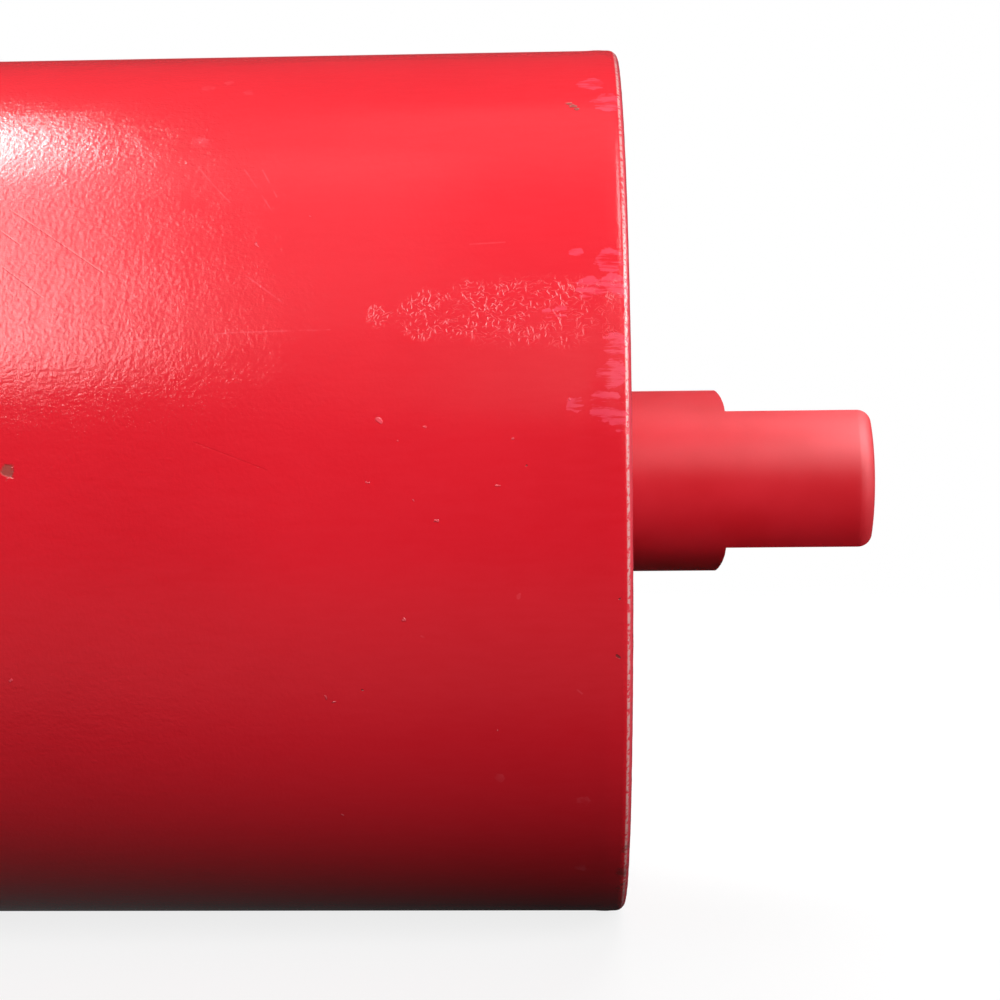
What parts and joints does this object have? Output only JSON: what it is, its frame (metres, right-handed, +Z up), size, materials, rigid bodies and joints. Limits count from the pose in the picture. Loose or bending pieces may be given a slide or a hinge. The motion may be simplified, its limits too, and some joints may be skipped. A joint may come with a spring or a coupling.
{
  "type": "conveyor roller",
  "caption": "Painted steel conveyor roller: a tube turning on sealed ball bearings about a fixed shaft whose flatted ends drop into slotted brackets.",
  "frame": {"origin": "middle of the roller on its axis", "axes": "+X along the shaft towards the end that the picture shows, +Z up and square to the flats"},
  "size_m": [0.461, 0.1396, 0.1396],
  "materials": {
    "tube_paint": "glossy enamel",
    "shaft_paint": "satin enamel",
    "housing_paint": "satin enamel",
    "bearing_steel": "ground",
    "ball_steel": "polished",
    "cage_nylon": "natural",
    "spring_steel": "blackened",
    "seal_nylon": "moulded",
    "cover_nylon": "moulded",
    "seal_rubber": "matt"
  },
  "bodies": {
    "shaft": {"shaft": "shaft_paint", "left_bearing_inner_ring": "bearing_steel", "left_circlip": "spring_steel", "left_labyrinth_stator": "seal_nylon", "left_dust_cover": "cover_nylon", "right_bearing_inner_ring": "bearing_steel", "right_circlip": "spring_steel", "right_labyrinth_stator": "seal_nylon", "right_dust_cover": "cover_nylon"},
    "roller": {"roller_tube": "tube_paint", "left_bearing_housing": "housing_paint", "left_housing_weld": "housing_paint", "left_bearing_outer_ring": "bearing_steel", "left_labyrinth_rotor": "seal_nylon", "left_lip_seal": "seal_rubber", "left_inner_seal": "seal_nylon", "right_bearing_housing": "housing_paint", "right_housing_weld": "housing_paint", "right_bearing_outer_ring": "bearing_steel", "right_labyrinth_rotor": "seal_nylon", "right_lip_seal": "seal_rubber", "right_inner_seal": "seal_nylon"},
    "left_ball_set": {"left_bearing_balls": "ball_steel", "left_bearing_cage": "cage_nylon"},
    "right_ball_set": {"right_bearing_balls": "ball_steel", "right_bearing_cage": "cage_nylon"}
  },
  "joints": [
    {"name": "roller_spin", "type": "hinge", "parent": "shaft", "child": "roller", "pos_m": [0, 0, 0], "axis": [1, 0, 0], "continuous": true},
    {"name": "left_ball_set_spin", "type": "hinge", "parent": "shaft", "child": "left_ball_set", "pos_m": [-0.1565, 0, 0], "axis": [1, 0, 0], "continuous": true},
    {"name": "right_ball_set_spin", "type": "hinge", "parent": "shaft", "child": "right_ball_set", "pos_m": [0.1565, 0, 0], "axis": [1, 0, 0], "continuous": true}
  ],
  "couplings": [
    {"joint": "left_ball_set_spin", "follows": "roller_spin", "ratio": 0.62059},
    {"joint": "right_ball_set_spin", "follows": "roller_spin", "ratio": 0.62059}
  ]
}
